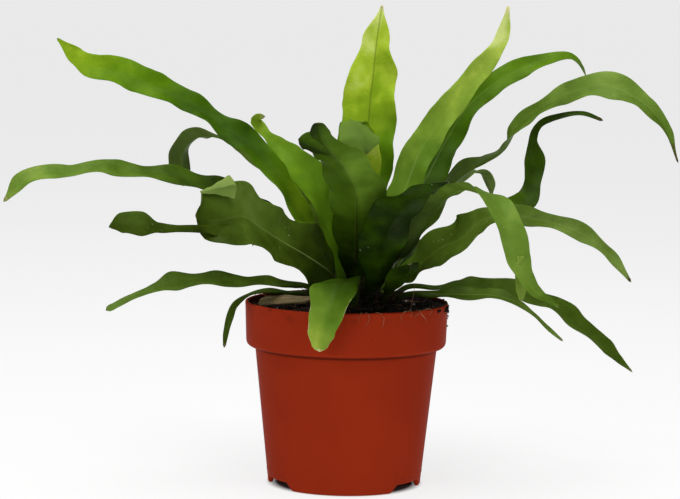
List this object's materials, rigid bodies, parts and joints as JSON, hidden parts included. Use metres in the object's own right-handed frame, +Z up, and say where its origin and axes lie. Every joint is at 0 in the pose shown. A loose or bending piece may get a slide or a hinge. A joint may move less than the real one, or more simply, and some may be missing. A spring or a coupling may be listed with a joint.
{
  "type": "potted fern",
  "caption": "Bird's-nest fern with long strap-shaped fronds rising from a crown in a tapered nursery pot.",
  "frame": {"origin": "on the pot's axis, on the surface that the pot stands on; the fronds reach equally far each way, so it is also the bottom centre of the box", "axes": "+Z up, +X to the right as seen from the front, where the longest fronds reach out, -Y towards the viewer"},
  "size_m": [0.3918, 0.2747, 0.2842],
  "materials": {
    "pot_plastic": "satin moulded polypropylene, terracotta colour",
    "peat": "damp black peat with crumbs and fibres",
    "crown_scales": "dark brown papery scales",
    "frond_green": "waxy green leaf with a paler midrib and fine side veins",
    "frond_dry": "dry papery old leaf, tan and olive"
  },
  "bodies": {
    "root": {"pot": "pot_plastic", "soil": "peat", "crown": "crown_scales", "frond_upright_centre": "frond_green", "frond_upright_right": "frond_green", "frond_right_back": "frond_green", "frond_right_arching": "frond_green", "frond_right_twisted": "frond_green", "frond_front_right_hanging": "frond_green", "frond_right_front_arching": "frond_green", "frond_front_leaning": "frond_green", "frond_centre_folded_tip": "frond_green", "frond_front_left_broad": "frond_green", "frond_left_long": "frond_green", "frond_upper_left_long": "frond_green", "frond_left_back_hooked": "frond_green", "frond_left_young_curled": "frond_green", "frond_left_low": "frond_green", "frond_left_rim_hanging": "frond_green", "frond_front_rim_hanging": "frond_green", "frond_right_low": "frond_green", "frond_right_low_narrow": "frond_green", "frond_right_back_curled": "frond_green", "frond_dry_old": "frond_dry", "frond_front_right_short": "frond_green", "frond_back_left": "frond_green", "frond_back_centre": "frond_green", "frond_back_right": "frond_green", "frond_back_upper": "frond_green", "frond_front_right_broad": "frond_green"}
  },
  "joints": []
}
